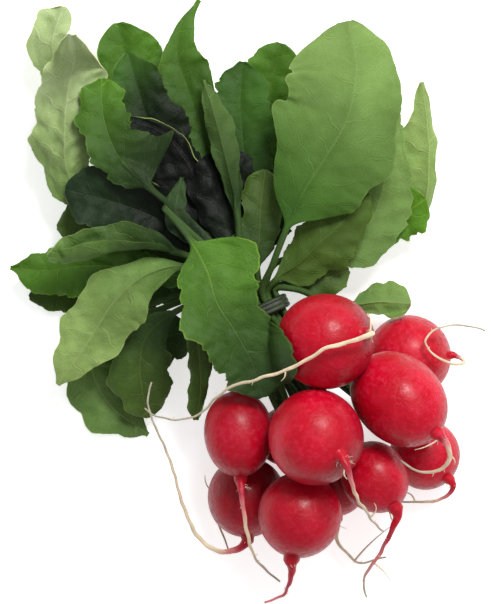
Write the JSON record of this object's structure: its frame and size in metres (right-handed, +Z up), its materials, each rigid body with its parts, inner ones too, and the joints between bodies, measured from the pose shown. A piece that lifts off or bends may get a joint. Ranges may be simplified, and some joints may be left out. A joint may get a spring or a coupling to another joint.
{
  "type": "bunch of radishes",
  "caption": "Fresh round red radishes with leafy tops, tied at the stalks into one bunch that lies on its side.",
  "frame": {"origin": "centre of the bounding box's underside, on the surface that the bunch lies on", "axes": "+Z up from the surface; +Y from the bulbs towards the leaf tips, along the bunch; +X to the right when looking down with the leaves at the top"},
  "size_m": [0.1702, 0.216, 0.0707],
  "materials": {
    "radish_skin": "smooth moist red skin, fading to pink and cream down the root",
    "leaf": "soft matte leaf, dark above and pale beneath",
    "tie_band": "matte rubber band"
  },
  "bodies": {
    "root": {"radish_01": "radish_skin", "radish_02": "radish_skin", "radish_03": "radish_skin", "radish_04": "radish_skin", "radish_05": "radish_skin", "radish_06": "radish_skin", "radish_07": "radish_skin", "radish_08": "radish_skin", "radish_09": "radish_skin", "radish_10": "radish_skin", "radish_11": "radish_skin", "leaf_01": "leaf", "leaf_02": "leaf", "leaf_03": "leaf", "leaf_04": "leaf", "leaf_05": "leaf", "leaf_06": "leaf", "leaf_07": "leaf", "leaf_08": "leaf", "leaf_09": "leaf", "leaf_10": "leaf", "leaf_11": "leaf", "leaf_12": "leaf", "leaf_13": "leaf", "leaf_14": "leaf", "leaf_15": "leaf", "leaf_16": "leaf", "leaf_17": "leaf", "leaf_18": "leaf", "leaf_19": "leaf", "leaf_20": "leaf", "leaf_21": "leaf", "leaf_22": "leaf", "leaf_23": "leaf", "leaf_24": "leaf", "leaf_25": "leaf", "leaf_26": "leaf", "leaf_27": "leaf", "leaf_28": "leaf", "leaf_29": "leaf", "leaf_30": "leaf", "leaf_31": "leaf", "tie": "tie_band"}
  },
  "joints": []
}
